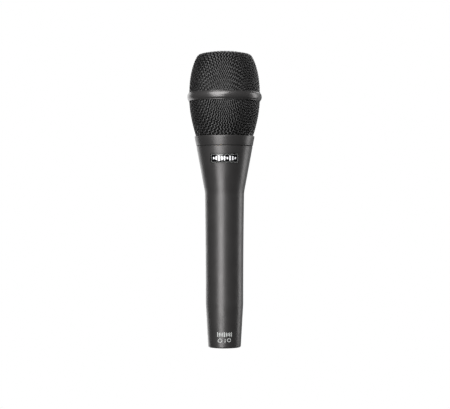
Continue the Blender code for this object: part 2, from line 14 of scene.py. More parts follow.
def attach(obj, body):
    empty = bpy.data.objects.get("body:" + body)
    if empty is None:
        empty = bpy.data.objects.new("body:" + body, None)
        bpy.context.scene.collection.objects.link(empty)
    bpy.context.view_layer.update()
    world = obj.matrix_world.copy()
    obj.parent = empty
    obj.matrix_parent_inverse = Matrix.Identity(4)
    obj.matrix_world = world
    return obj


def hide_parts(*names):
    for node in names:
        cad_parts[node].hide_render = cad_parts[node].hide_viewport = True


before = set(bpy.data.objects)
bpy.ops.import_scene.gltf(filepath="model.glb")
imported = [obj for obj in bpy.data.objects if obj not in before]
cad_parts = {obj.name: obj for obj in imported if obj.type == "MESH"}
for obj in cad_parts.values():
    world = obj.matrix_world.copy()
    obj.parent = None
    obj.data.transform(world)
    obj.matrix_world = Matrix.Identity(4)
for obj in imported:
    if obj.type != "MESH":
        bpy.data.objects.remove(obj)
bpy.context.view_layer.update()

# ---- dimensions that the pieces share ----------------------------------------------------------------------
MM = 0.001
STEPS = 144                 # sides of the large turned pieces
SMALL_STEPS = 40            # sides of screws and pins

GRIP_RADIUS = 12.07
TAPER_TOP = 27.8
GRIP_TOP, GRIP_TOP_RADIUS = 96.6, 12.58
SHOULDER = 99.6
HANDLE_TOP, HANDLE_TOP_RADIUS = 129.55, 18.15
TAIL_RADIUS = 10.5
SOCKET_RADIUS, SOCKET_DEPTH = 8.2, 15.0
NECK_RADIUS = 16.0
COLLAR_BOTTOM, COLLAR_TOP = 129.9, 136.15
GRILLE_RADIUS = 22.9
BAND_BOTTOM, BAND_TOP, BAND_RADIUS = 158.7, 164.1, 24.05
LOWER_RIM = 135.0
SPLIT = (159.3, 163.0)      # the two baskets' rims, inside the band
GRILLE_TOP = 191.0
SCREEN_TUCK = 5.4           # the inner layers follow the lower basket this much lower
BASKET_WALL = 1.0
WIRE = 0.5                  # the baskets' wire, half of the woven wall's thickness
PITCH = 1.62                # from wire to wire of the flat mesh
WAIST = (160.0, 161.0)      # the lower basket tapers below the first height, the upper one above the second
THREAD_PITCH = 1.25
THREAD_STEPS = 90           # steps of a thread's ridge in one turn
CREASE = 35.0               # degrees: an edge sharper than this isn't shaded smooth
SWITCH_Z = 138.7
CARRIER_LEDGE = 162.7
CAPSULE_TOP = 174.9         # the capsule's clamp screws sit here


# ---- profiles ----------------------------------------------------------------------------------------------
def grip_radius(z):
    share = (z - TAPER_TOP) / (GRIP_TOP - TAPER_TOP)
    return GRIP_RADIUS + (GRIP_TOP_RADIUS - GRIP_RADIUS) * share ** 2


def cone_radius(z):
    share = (z - SHOULDER) / (HANDLE_TOP - SHOULDER)
    return GRIP_TOP_RADIUS + (HANDLE_TOP_RADIUS - GRIP_TOP_RADIUS) * share


def tail_radius(z):
    return TAIL_RADIUS + (GRIP_RADIUS - TAIL_RADIUS) * z / TAPER_TOP


def lower_basket_radius(z):
    return GRILLE_RADIUS - 0.0173 * max(0.0, WAIST[0] - z) ** 1.744


def upper_basket_radius(z):
    return GRILLE_RADIUS - 0.00081 * max(0.0, z - WAIST[1]) ** 2.655


def dome_line(inset, bottom):
    """The upper basket's surface, inset by a distance, from its bottom rim up to the axis."""
    side_steps = 14
    side_top = 185.0 - inset * 0.6
    heights = [bottom + (side_top - bottom) * n / side_steps for n in range(side_steps + 1)]
    side = [(upper_basket_radius(z) - inset, z) for z in heights]
    edge = (17.4 - inset, 189.0 - inset, max(4.2 - inset, 1.0))
    cap = [(r, GRILLE_TOP - inset - r * r / 152) for r in (10.0, 7.5, 5.0, 2.5, 0.0)]
    return rounded([*side, edge, *cap], 6, closed=False)


def belly_line(inset, bottom, top, tuck=0.0, steps=12):
    """The lower basket's surface, inset by a distance, from bottom to top. A tuck follows it that much lower."""
    heights = [bottom + (top - bottom) * n / steps for n in range(steps + 1)]
    return [(lower_basket_radius(z - tuck) - inset, z) for z in heights]


def rounded(corners, arc_steps=5, closed=True):
    """Outline points from corners (radius, height) or (radius, height, rounding): a rounding becomes an arc."""
    points = []
    for i, corner in enumerate(corners):
        here = Vector(corner[:2])
        if len(corner) == 2 or (not closed and i in (0, len(corners) - 1)):
            points.append(tuple(here))
            continue
        back = (Vector(corners[i - 1][:2]) - here).normalized()
        ahead = (Vector(corners[(i + 1) % len(corners)][:2]) - here).normalized()
        half_angle = back.angle(ahead) / 2
        middle = here + (back + ahead).normalized() * corner[2] / math.sin(half_angle)
        start = here + back * corner[2] / math.tan(half_angle) - middle
        end = here + ahead * corner[2] / math.tan(half_angle) - middle
        sweep = start.angle(end)
        for step in range(arc_steps + 1):
            share = step / arc_steps
            weights = math.sin((1 - share) * sweep), math.sin(share * sweep)
            points.append(tuple(middle + (start * weights[0] + end * weights[1]) / math.sin(sweep)))
    return points


def around(radius, degrees):
    return radius * math.cos(math.radians(degrees)), radius * math.sin(math.radians(degrees))


# ---- materials ---------------------------------------------------------------------------------------------
class Shader:
    """A Principled material whose colour, roughness and bump come from nodes in object space."""

    def __init__(self, name, colour, roughness, metallic=0.0, **sockets):
        self.material = bpy.data.materials.new(name)
        self.material.use_nodes = True
        self.tree = self.material.node_tree
        self.shader = self.tree.nodes["Principled BSDF"]
        self.colour = (*colour, 1)
        self.set(self.shader, "Base Color", self.colour)
        self.set(self.shader, "Roughness", roughness)
        self.set(self.shader, "Metallic", metallic)
        for socket, value in sockets.items():
            self.set(self.shader, socket.replace("_", " "), value)
        self.place = self.tree.nodes.new("ShaderNodeTexCoord").outputs["Object"]
        self.bump_before = None

    @staticmethod
    def set(node, socket, value):
        node.inputs[socket].default_value = value

    def node(self, kind, links=(), **settings):
        made = self.tree.nodes.new(kind)
        for key, value in settings.items():
            if hasattr(made, key):
                setattr(made, key, value)
            else:
                made.inputs[key.replace("_", " ")].default_value = value
        for socket, source in dict(links).items():
            self.tree.links.new(source, made.inputs[socket])
        return made

    def noise(self, size, detail=3.0):
        """Noise whose blotches are about size millimetres across."""
        made = self.node("ShaderNodeTexNoise", {"Vector": self.place}, Scale=1 / (size * MM), Detail=detail)
        return made.outputs["Fac"]

    def rings(self, size):
        """Fine turning marks, size millimetres apart up the axis."""
        made = self.node("ShaderNodeTexWave", {"Vector": self.place}, bands_direction="Z", Distortion=1.5,
                         Detail=2.0)
        self.set(made, "Scale", 1 / (size * MM) / 20)
        self.set(made, "Detail Scale", 0.3)
        return made.outputs["Fac"]

    def ramp(self, source, low, high, start=0.35, end=0.65):
        """source from 0 to 1 read as a number from low to high."""
        made = self.node("ShaderNodeMapRange", {"Value": source})
        for socket, value in zip(("From Min", "From Max", "To Min", "To Max"), (start, end, low, high)):
            self.set(made, socket, value)
        return made.outputs["Result"]

    def vary_colour(self, source, other, start=0.35, end=0.65):
        """The colour goes towards other where source is high."""
        factor = self.ramp(source, 0, 1, start, end)
        mix = self.node("ShaderNodeMix", data_type="RGBA")
        self.tree.links.new(factor, mix.inputs["Factor"])
        before = self.shader.inputs["Base Color"]
        if before.is_linked:
            self.tree.links.new(before.links[0].from_socket, mix.inputs[6])
        else:
            mix.inputs[6].default_value = self.colour
        mix.inputs[7].default_value = (*other, 1)
        self.tree.links.new(mix.outputs[2], before)
        return self

    def vary_roughness(self, source, low, high):
        self.tree.links.new(self.ramp(source, low, high), self.shader.inputs["Roughness"])
        return self

    def bump(self, source, depth):
        """Relief of that depth in millimetres."""
        links = {"Height": source}
        if self.bump_before:
            links["Normal"] = self.bump_before
        made = self.node("ShaderNodeBump", links, Strength=1.0, Distance=depth * MM)
        self.bump_before = made.outputs["Normal"]
        self.tree.links.new(self.bump_before, self.shader.inputs["Normal"])
        return self


def enamel(name, gloss_and_highlight=1.0):
    """Satin charcoal paint with fine metal flake. A higher second number makes it less rough and lighter in colour: the
    lighter colour is a painted highlight.
    """
    made = Shader(name, (0.050 * gloss_and_highlight, 0.048 * gloss_and_highlight, 0.048 * gloss_and_highlight), 0.37, 0.68)
    made.vary_colour(made.noise(0.12, 1.0), (0.075 * gloss_and_highlight, 0.073 * gloss_and_highlight, 0.072 * gloss_and_highlight), 0.5, 0.75)
    made.vary_roughness(made.noise(9.0, 4.0), 0.35 / gloss_and_highlight, 0.41 / gloss_and_highlight)
    return made.bump(made.noise(0.35), 0.006).bump(made.noise(0.09, 1.0), 0.0012).material


def wire_coat():
    made = Shader("black_wire_coat", (0.007, 0.0067, 0.0069), 0.38)
    made.vary_colour(made.noise(2.2), (0.015, 0.0145, 0.0148))
    return made.bump(made.noise(0.12), 0.006).material


def fine_mesh():
    """A dark fine-wire screen: its weave is only relief and shade, a quarter of a millimetre across."""
    made = Shader("fine_screen", (0.004, 0.004, 0.004), 0.75, Specular_IOR_Level=0.1)
    weave = made.node("ShaderNodeTexChecker", {"Vector": made.place}, Scale=1 / (0.25 * MM))
    made.vary_colour(weave.outputs["Fac"], (0.008, 0.008, 0.008), 0, 1)
    return made.bump(weave.outputs["Fac"], 0.05).material


def gloss_black():
    made = Shader("gloss_black_plate", (0.004, 0.004, 0.0045), 0.10)
    return made.vary_roughness(made.noise(3.0), 0.08, 0.14).bump(made.noise(1.2), 0.001).material


def silver():
    made = Shader("silver_mark", (0.86, 0.86, 0.88), 0.42, 0.35)
    return made.vary_roughness(made.noise(0.5), 0.36, 0.5).material


def ink():
    made = Shader("printed_ink", (0.42, 0.43, 0.42), 0.55)
    return made.vary_colour(made.noise(0.3), (0.36, 0.37, 0.36)).material


def turned_metal(name, colour, roughness, ring=0.12):
    made = Shader(name, colour, roughness, 1.0)
    made.vary_colour(made.noise(3.0), tuple(c * 0.86 for c in colour))
    made.vary_roughness(made.noise(0.6), roughness * 0.85, roughness * 1.2)
    return made.bump(made.rings(ring), 0.004).material


def cast_metal():
    made = Shader("bare_casting", (0.32, 0.32, 0.33), 0.48, 1.0)
    made.vary_colour(made.noise(1.5), (0.24, 0.24, 0.25))
    return made.bump(made.noise(0.5), 0.03).material


def moulded(name, colour, roughness=0.5):
    made = Shader(name, colour, roughness)
    made.vary_colour(made.noise(2.0), tuple(c * 0.8 for c in colour))
    made.vary_roughness(made.noise(0.8), roughness * 0.88, roughness * 1.1)
    return made.bump(made.noise(0.18), 0.008).material


def rubber():
    made = Shader("black_rubber", (0.018, 0.018, 0.018), 0.82)
    made.vary_colour(made.noise(1.0), (0.028, 0.027, 0.026))
    return made.bump(made.noise(0.25), 0.02).material


def open_foam():
    """Open-cell foam: pale strands, with painted shade in the pores between them."""
    made = Shader("open_cell_foam", (0.010, 0.010, 0.0105), 0.95, Specular_IOR_Level=0.1)
    cells = made.node("ShaderNodeTexVoronoi", {"Vector": made.place}, Scale=1 / (0.55 * MM))
    # the cells' middles are darker: painted shade in the pores
    made.vary_colour(cells.outputs["Distance"], (0.022, 0.022, 0.0225), 0.3, 0.75)
    return made.bump(cells.outputs["Distance"], 0.25).material


def circuit_resist():
    """Green solder resist over faint copper tracks."""
    made = Shader("solder_resist", (0.010, 0.075, 0.035), 0.35)
    tracks = made.node("ShaderNodeTexBrick", {"Vector": made.place}, Scale=1 / (9 * MM))
    made.vary_colour(tracks.outputs["Fac"], (0.020, 0.120, 0.055), 0, 1)
    return made.bump(tracks.outputs["Fac"], 0.03).material


MATERIALS = {
    "enamel": enamel("charcoal_enamel"),
    # the band's paint is the handle's enamel, 1.25 times lighter in colour and less rough: the lighter colour is a
    # painted highlight
    "band_enamel_painted_highlight": enamel("band_enamel_painted_highlight", 1.25),
    "wire": wire_coat(),
    "screen": fine_mesh(),
    "plate": gloss_black(),
    "silver": silver(),
    "ink": ink(),
    "casting": cast_metal(),
    "brass": turned_metal("turned_brass", (0.58, 0.42, 0.19), 0.30),
    "gold": turned_metal("gold_plate", (0.86, 0.62, 0.24), 0.18, 0.3),
    "steel": turned_metal("plain_steel", (0.50, 0.50, 0.51), 0.32),
    "black_plastic": moulded("moulded_black", (0.016, 0.016, 0.017), 0.5),
    "white_plastic": moulded("moulded_white", (0.74, 0.72, 0.67), 0.45),
    "rubber": rubber(),
    "foam": open_foam(),
    "board": circuit_resist(),
    "blue": moulded("blue_sleeve", (0.02, 0.04, 0.16), 0.35),
    "red_resin": moulded("red_resin", (0.30, 0.025, 0.015), 0.3),
    "lead_red": moulded("red_insulation", (0.42, 0.02, 0.015), 0.5),
    "lead_white": moulded("white_insulation", (0.70, 0.70, 0.66), 0.5),
    "lead_black": moulded("black_insulation", (0.014, 0.014, 0.014), 0.5),
}


# ---- making pieces -----------------------------------------------------------------------------------------
def finish_piece(piece, body, replaced=()):
    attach(piece, body)
    if replaced:
        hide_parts(*replaced)
    return piece


def new_piece(name, mesh, materials, crease=CREASE):
    """An object of this mesh, with its faces pointing out."""
    piece = bpy.data.objects.new(name, mesh)
    bpy.context.collection.objects.link(piece)
    for material in materials:
        mesh.materials.append(MATERIALS[material])
    bm = bmesh.new()
    bm.from_mesh(mesh)
    bmesh.ops.recalc_face_normals(bm, faces=bm.faces)
    bm.to_mesh(mesh)
    bm.free()
    shade(mesh, crease)
    return piece


def shade(mesh, crease=CREASE):
    mesh.shade_smooth()
    mesh.set_sharp_from_angle(angle=math.radians(crease))


def mesh_piece(name, verts, faces, materials, crease=CREASE):
    """An object of these vertices in millimetres."""
    mesh = bpy.data.meshes.new(name)
    mesh.from_pydata((np.asarray(verts, dtype=float) * MM).tolist(), [], faces)
    return new_piece(name, mesh, materials, crease)


def bmesh_piece(name, bm, materials):
    """An object of this bmesh, whose places are in millimetres."""
    bmesh.ops.scale(bm, vec=(MM, MM, MM), verts=bm.verts)
    mesh = bpy.data.meshes.new(name)
    bm.to_mesh(mesh)
    bm.free()
    return new_piece(name, mesh, materials)


def lathe(name, corners, materials, steps=STEPS, place=(0, 0, 0)):
    """A closed outline of corners turned about Z. Outline points on the axis become single vertices."""
    verts, rings = [], []
    angles = [2 * math.pi * n / steps for n in range(steps)]
    for r, z in rounded(corners):
        if r < 1e-6:
            rings.append([len(verts)] * steps)
            verts.append((place[0], place[1], z + place[2]))
            continue
        rings.append(range(len(verts), len(verts) + steps))
        verts += [(place[0] + r * math.cos(a), place[1] + r * math.sin(a), z + place[2]) for a in angles]
    faces = []
    for lower, upper in zip(rings, rings[1:] + rings[:1]):
        for n in range(steps):
            after = (n + 1) % steps
            corners_of_face = dict.fromkeys((lower[n], lower[after], upper[after], upper[n]))
            if len(corners_of_face) > 2:
                faces.append(tuple(corners_of_face))
    return mesh_piece(name, verts, faces, materials)


def cut(piece, *cutters):
    """Takes the cutters out of the piece for good."""
    for cutter in cutters:
        modifier = piece.modifiers.new("cut", "BOOLEAN")
        modifier.operation = "DIFFERENCE"
        modifier.object = cutter
    settle(piece)
    for cutter in cutters:
        bpy.data.objects.remove(cutter, do_unlink=True)
    return piece


def settle(piece):
    """Applies the piece's modifiers."""
    evaluated = piece.evaluated_get(bpy.context.evaluated_depsgraph_get())
    mesh = bpy.data.meshes.new_from_object(evaluated)
    piece.modifiers.clear()
    old, piece.data = piece.data, mesh
    bpy.data.meshes.remove(old)
    shade(mesh)


def bevelled(piece, width, segments=3, angle=40.0):
    modifier = piece.modifiers.new("edges", "BEVEL")
    modifier.width = width * MM
    modifier.segments = segments
    modifier.limit_method = "ANGLE"
    modifier.angle_limit = math.radians(angle)
    settle(piece)
    return piece


def block(name, size, centre, materials, edge=0.0):
    bm = bmesh.new()
    bmesh.ops.create_cube(bm, size=1)
    bmesh.ops.scale(bm, vec=size, verts=bm.verts)
    bmesh.ops.translate(bm, vec=centre, verts=bm.verts)
    piece = bmesh_piece(name, bm, materials)
    return bevelled(piece, edge) if edge else piece


def rod(name, radius, start, end):
    """A plain cylinder between two points, to cut a hole with."""
    start, end = Vector(start), Vector(end)
    bm = bmesh.new()
    turn = (end - start).to_track_quat("Z", "Y").to_matrix().to_4x4()
    bmesh.ops.create_cone(bm, cap_ends=True, segments=SMALL_STEPS, radius1=radius, radius2=radius,
                          depth=(end - start).length, matrix=Matrix.Translation((start + end) / 2) @ turn)
    return bmesh_piece(name, bm, [])


def smooth_route(points, per_span):
    """Points along a Catmull-Rom curve through the given ones."""
    knots = np.asarray(points, dtype=float)
    knots = np.vstack([2 * knots[0] - knots[1], knots, 2 * knots[-1] - knots[-2]])
    t = (np.arange(per_span) / per_span)[None, :, None]
    a, b, c, d = (knots[n:len(knots) - 3 + n, None, :] for n in range(4))
    curve = (2 * b + (c - a) * t + (2 * a - 5 * b + 4 * c - d) * t ** 2 + (3 * b - a - 3 * c + d) * t ** 3) / 2
    return np.vstack([curve.reshape(-1, 3), knots[-2]])


def tube_rings(path, across, radius, sides):
    """Vertices of a tube along path, whose section is turned to the directions in across."""
    along = np.gradient(path, axis=0)
    along /= np.linalg.norm(along, axis=1, keepdims=True)
    side = np.cross(along, across)
    side /= np.linalg.norm(side, axis=1, keepdims=True)
    out = np.cross(side, along)
    angles = 2 * math.pi * np.arange(sides) / sides
    offsets = out[:, None] * np.cos(angles)[None, :, None] + side[:, None] * np.sin(angles)[None, :, None]
    return (path[:, None] + radius * offsets).reshape(-1, 3)


def tube_faces(first, length, sides):
    """Faces of a closed tube whose rings start at vertex first."""
    faces = []
    for ring in range(length - 1):
        base = first + ring * sides
        for n in range(sides):
            after = (n + 1) % sides
            faces.append((base + n, base + after, base + sides + after, base + sides + n))
    faces.append(tuple(range(first + sides - 1, first - 1, -1)))
    last = first + (length - 1) * sides
    faces.append(tuple(range(last, last + sides)))
    return faces


def wire(name, points, radius, material):
    """A wire along a smooth route through the points."""
    sides = 12
    path = smooth_route(points, 8)
    across = np.tile((0.31, 0.95, 0.05), (len(path), 1))    # any direction that the route never takes
    return mesh_piece(name, tube_rings(path, across, radius, sides), tube_faces(0, len(path), sides), [material])


def helix_thread(name, root, crest, heights, material):
    """A screw thread's ridge on a cylinder of radius root, with its crest at radius crest, fading out at its ends."""
    bottom, top = heights
    turns = (top - bottom) / THREAD_PITCH
    count = int(turns * THREAD_STEPS)
    half_base, half_crest = THREAD_PITCH * 0.42, THREAD_PITCH * 0.08
    bury = -0.15 if crest > root else 0.15
    verts = []
    for n in range(count + 1):
        angle = 2 * math.pi * turns * n / count
        fade = min(1.0, 8 * n / count, 8 * (count - n) / count)
        z = bottom + (top - bottom) * n / count
        section = ((root + bury, -half_base), (root + (crest - root) * fade, -half_crest),
                   (root + (crest - root) * fade, half_crest), (root + bury, half_base))
        verts += [(r * math.cos(angle), r * math.sin(angle), z + rise) for r, rise in section]
    faces = tube_faces(0, count + 1, 4)
    return mesh_piece(name, verts, faces, [material])


# ---- flat shapes laid on the handle ------------------------------------------------------------------------
def wrapped(name, bm, radius_at, inset, thickness, materials):
    """A flat bmesh in the XZ plane, bent round the handle's front and given a thickness. inset is from the surface."""
    slice_width = 0.5
    for vert in bm.verts:
        vert.co.y = 0
    low, high = min(v.co.x for v in bm.verts), max(v.co.x for v in bm.verts)
    for n in range(1, int((high - low) / slice_width)):
        geometry = [*bm.verts, *bm.edges, *bm.faces]
        bmesh.ops.bisect_plane(bm, geom=geometry, plane_co=(low + n * slice_width, 0, 0), plane_no=(1, 0, 0))
    raised = bmesh.ops.extrude_face_region(bm, geom=list(bm.faces))
    for item in raised["geom"]:
        if isinstance(item, bmesh.types.BMVert):
            item.co.y = thickness
    for vert in bm.verts:
        x, lift, z = vert.co
        angle = x / radius_at(z) - math.pi / 2
        radius = radius_at(z) - inset + lift
        vert.co = (radius * math.cos(angle), radius * math.sin(angle), z)
    bmesh.ops.remove_doubles(bm, verts=bm.verts, dist=1e-5)
    return bmesh_piece(name, bm, materials)


def add_outline(bm, points):
    bm.faces.new([bm.verts.new((x, 0, z)) for x, z in points])


def add_pill(bm, centre, width, height):
    """A bar with round ends."""
    x, z = centre
    sides = 8
    radius = width / 2
    points = []
    for start, rise in ((0, height / 2 - radius), (180, radius - height / 2)):
        for n in range(sides + 1):
            cx, cz = around(radius, start + 180 * n / sides)
            points.append((x + cx, z + rise + cz))
    add_outline(bm, points)


def add_loop(bm, points, width):
    """A closed line of that width through the points."""
    path = np.array(points)
    along = np.roll(path, -1, axis=0) - np.roll(path, 1, axis=0)
    along /= np.linalg.norm(along, axis=1, keepdims=True)
    across = np.stack([along[:, 1], -along[:, 0]], axis=1) * width / 2
    rings = [[bm.verts.new((x, 0, z)) for x, z in path + side * across] for side in (1, -1)]
    for n in range(len(path)):
        after = (n + 1) % len(path)
        bm.faces.new((rings[0][n], rings[0][after], rings[1][after], rings[1][n]))


# ---- handle ------------------------------------------------------------------------------------------------
def handle():
    grip = [(grip_radius(z), z) for z in np.linspace(40, GRIP_TOP, 12)]
    shell = lathe("handle_casting", [
        (SOCKET_RADIUS, 0, 0.25), (TAIL_RADIUS, 0, 0.9), (GRIP_RADIUS, TAPER_TOP, 30.0), *grip,
        (GRIP_TOP_RADIUS, SHOULDER, 22.0), (HANDLE_TOP_RADIUS, HANDLE_TOP, 0.22), (14.6, HANDLE_TOP),
        (14.6, 119.0), (13.9, 119.0), (10.3, SHOULDER - 1), (10.3, 26.2), (9.4, 26.2), (9.4, SOCKET_DEPTH),
        (SOCKET_RADIUS, SOCKET_DEPTH),
    ], ["enamel", "casting"], steps=192)
    pocket = plate_shape("plate_pocket", 19.1, (118.3, 124.7), 1.0, cone_radius, 1.2, 3.2)
    key = block("key_slot", (2.8, 2.0, 13.0), (0, 8.3, 5.5), [], 0.3)
    hole = rod("lock_screw_hole", 1.5, (0, 8.0, 20.0), (0, 13.0, 20.0))
    cut(shell, pocket, key, hole)
    for face in shell.data.polygons:
        x, y, z = face.center / MM
        wall_middle = min(grip_radius(z), tail_radius(z)) - 0.5 if z < SHOULDER else cone_radius(z) - 1.35
        face.material_index = int(math.hypot(x, y) < wall_middle and z > 0.1)
    return finish_piece(shell, "handle", ["handle_shell"])


def plate_shape(name, width, heights, corner, radius_at, inset, thickness, materials=()):
    """A rounded rectangle bent round the handle."""
    bottom, top = heights
    outline = rounded([(-width / 2, bottom, corner), (width / 2, bottom, corner), (width / 2, top, corner),
                       (-width / 2, top, corner)])
    bm = bmesh.new()
    add_outline(bm, outline)
    return wrapped(name, bm, radius_at, inset, thickness, list(materials))


def nameplate():
    plate = plate_shape("nameplate_panel", 18.3, (118.75, 124.25), 0.8, cone_radius, 0.80, 0.62, ["plate"])
    bevelled(plate, 0.12, 2, 60)
    finish_piece(plate, "handle", ["nameplate"])
    rails = bmesh.new()
    add_loop(rails, rounded([(-8.9, 119.0, 0.6), (8.9, 119.0, 0.6), (8.9, 124.0, 0.6), (-8.9, 124.0, 0.6)]), 0.10)
    rim = wrapped("nameplate_rim_line", rails, cone_radius, 0.19, 0.03, ["ink"])
    finish_piece(rim, "handle")
    bars = bmesh.new()
    for n, height in enumerate((1.4, 2.4, 3.3, 2.0, 2.9, 1.6, 3.3, 2.5, 1.4)):
        add_pill(bars, (1.78 * (n - 4), 121.5), 1.0, height)
    mark = wrapped("nameplate_wave_bars", bars, cone_radius, 0.19, 0.07, ["silver"])
    return finish_piece(mark, "handle")


CARDIOID, SUPERCARDIOID = 0.52, 0.40


def pattern_loop(centre, size, spread, turn_steps=56):
    """A microphone's pickup pattern: radius spread + (1 - spread) cos(angle), with its front upwards."""
    x, z = centre
    points = []
    for n in range(turn_steps):
        angle = 2 * math.pi * (n + 0.5) / turn_steps
        radius = size * abs(spread + (1 - spread) * math.cos(angle))
        points.append((x + radius * math.sin(angle), z + radius * math.cos(angle)))
    return points


def tail_print():
    """The printed signs near the tail: plain ticks, the two pickup patterns and the line between them."""
    signs = bmesh.new()
    add_loop(signs, pattern_loop((-2.9, 4.3), 1.95, CARDIOID), 0.28)
    add_loop(signs, pattern_loop((2.9, 4.6), 1.85, SUPERCARDIOID), 0.28)
    add_pill(signs, (0.35, 4.9), 0.30, 2.7)
    finish_piece(wrapped("pattern_signs", signs, tail_radius, 0.02, 0.045, ["ink"]), "handle")
    ticks = bmesh.new()
    for n in range(9):
        height = 3.1 if n % 4 == 0 else 2.1 if n % 2 == 0 else 2.6
        add_pill(ticks, (-4.5 + 9 * n / 8, 9.0), 0.50, height)
    return finish_piece(wrapped("tail_ticks", ticks, tail_radius, 0.02, 0.045, ["ink"]), "handle")


def connector():
    """The tail's connector: insert, pins with their solder cups, and the lock screw."""
    places = [around(4.4, angle) for angle in (25, 155, 270)]
    insert = lathe("connector_insert_body", [
        (0, 15.3), (6.9, 15.3, 0.2), (7.1, 15.7, 0.15), (7.6, 15.7, 0.15), (7.8, 15.3, 0.2), (9.1, 15.3, 0.3),
        (9.1, 25.0, 0.6), (7.4, 25.0, 0.3), (7.2, 24.2, 0.3), (0, 24.2),
    ], ["black_plastic"], 96)
    holes = [rod("pin_hole", 1.5, (x, y, 14.0), (x, y, 26.0)) for x, y in places]
    dimple = rod("dimple", 1.5, (0, 7.0, 20.0), (0, 10.0, 20.0))
    cut(insert, *holes, dimple)
    finish_piece(insert, "handle", ["connector_insert"])
    for number, (x, y) in enumerate(places, 1):
        pin = lathe(f"gold_pin_{number}", [
            (0, 1.2), (1.2, 1.2, 0.95), (1.2, 15.4), (1.42, 15.5, 0.06), (1.42, 16.6, 0.06), (1.2, 16.7),
            (1.2, 28.5, 0.15), (0.75, 28.5, 0.1), (0.75, 26.5), (0, 26.5),
        ], ["gold"], SMALL_STEPS, (x, y, 0))
        finish_piece(pin, "handle", [f"contact_pin_{number}"])
    screw = lathe("lock_screw", [(0, 0), (1.2, 0, 0.3), (1.2, 3.6, 0.2), (0, 3.6)], ["steel"], SMALL_STEPS)
    screw.data.transform(Matrix.Translation((0, 7.6 * MM, 20.0 * MM)) @ Matrix.Rotation(math.radians(-90), 4, "X"))
    slot = block("screw_slot", (0.35, 1.4, 2.0), (0, 11.2, 20.0), [])
    cut(screw, slot)
    finish_piece(screw, "handle", ["connector_lock_screw"])


# ---- neck, base and switch ---------------------------------------------------------------------------------
BASE_SCREWS = [around(8.3, angle) for angle in (30, 150, 270)]


def neck():
    sleeve = lathe("neck_sleeve", [
        (12.9, 119.5), (14.3, 119.5, 0.2), (14.3, 129.85), (15.55, 129.85, 0.1), (15.55, 135.2, 0.35),
        (12.6, 135.2, 0.2), (12.6, 131.2), (6.0, 131.2, 0.2), (6.0, 128.0, 0.2), (12.9, 128.0),
    ], ["brass"])
    cut(sleeve, *[rod("tapped_hole", 1.2, (x, y, 127), (x, y, 132)) for x, y in BASE_SCREWS])
    finish_piece(sleeve, "handle", ["neck_ring"])
    thread = helix_thread("neck_thread", 15.55, NECK_RADIUS, (130.7, 134.4), "brass")
    finish_piece(thread, "handle")


def recessed_screw(name, axis, heights, head, shank, body, replaced, recess="cross"):
    """A screw whose head's top is at heights[2], with a cross or a slot in it."""
    x, y = axis
    bottom, seat, top = heights
    screw = lathe(name, [
        (0, bottom), (shank, bottom, shank * 0.3), (shank, seat), (head, seat, 0.05), (head, top, head * 0.28),
        (0, top + head * 0.06),
    ], ["steel"], SMALL_STEPS, (x, y, 0))
    arms = [(0.28 * head, 1.25 * head), (1.25 * head, 0.28 * head)][:2 if recess == "cross" else 1]
    cutters = [block("recess", (wide, deep, 0.5 * head), (x, y, top), []) for wide, deep in arms]
    cut(screw, *cutters)
    return finish_piece(screw, body, [replaced])


def base():
    cup = lathe("capsule_base_cup", [
        (3.5, 131.5, 0.2), (12.3, 131.5, 0.3), (12.3, 134.0), (12.15, 134.15), (12.15, 134.65), (12.3, 134.8),
        (12.3, 143.0, 0.4), (10.2, 143.0, 0.3), (10.2, 133.5, 0.6), (3.5, 133.5, 0.2),
    ], ["black_plastic"])
    cutters = [rod("screw_hole", 1.2, (x, y, 131), (x, y, 134)) for x, y in BASE_SCREWS]
    cutters.append(block("switch_window", (8.6, 5.0, 5.0), (0, -11.1, SWITCH_Z), [], 0.3))
    cut(cup, *cutters)
    finish_piece(cup, "handle", ["capsule_base"])
    for number, place in enumerate(BASE_SCREWS, 1):
        recessed_screw(f"base_screw_head_{number}", place, (128.6, 133.8, 134.8), 1.7, 0.9, "handle",
                       f"base_screw_{number}")


def switch():
    housing = block("switch_housing", (8.0, 3.2, 4.4), (0, -10.5, SWITCH_Z), ["black_plastic"], 0.25)
    cut(housing, block("slot", (4.8, 3.2, 2.0), (0, -12.1, SWITCH_Z), [], 0.3))
    finish_piece(housing, "handle", ["pattern_switch_body"])
    slider = block("switch_slider_cap", (2.0, 2.4, 1.4), (-1.0, -12.05, SWITCH_Z), ["white_plastic"], 0.18)
    grooves = [block("groove", (0.22, 0.5, 2.0), (x, -13.3, SWITCH_Z), []) for x in (-1.5, -1.0, -0.5)]
    cut(slider, *grooves)
    finish_piece(slider, "switch", ["pattern_switch_slider"])
    marks = bmesh.new()
    for x, spread in ((-3.2, CARDIOID), (3.2, SUPERCARDIOID)):
        sign = pattern_loop((0, 0), 1.85, spread, 40)
        add_loop(marks, [(x + px * 0.26, 138.45 + pz * 0.26) for px, pz in sign], 0.11)
    for vert in marks.verts:
        vert.co.y = -12.1
    raised = bmesh.ops.extrude_face_region(marks, geom=list(marks.faces))["geom"]
    bmesh.ops.translate(marks, vec=(0, -0.02, 0), verts=[v for v in raised if isinstance(v, bmesh.types.BMVert)])
    finish_piece(bmesh_piece("switch_signs", marks, ["ink"]), "handle")


def shock_mount():
    folds = [(6.0, 142.7, 0.2), (7.8, 142.7, 0.3), (9.0, 141.8, 0.4), (9.8, 142.7, 0.2), (12.3, 142.7, 0.2),
             (12.3, 144.6, 0.3), (10.0, 144.6, 0.4), (9.0, 143.8, 0.4), (8.0, 144.6, 0.4), (6.0, 144.6, 0.3)]
    finish_piece(lathe("shock_mount_ring", folds, ["rubber"], 96), "handle", ["shock_mount"])


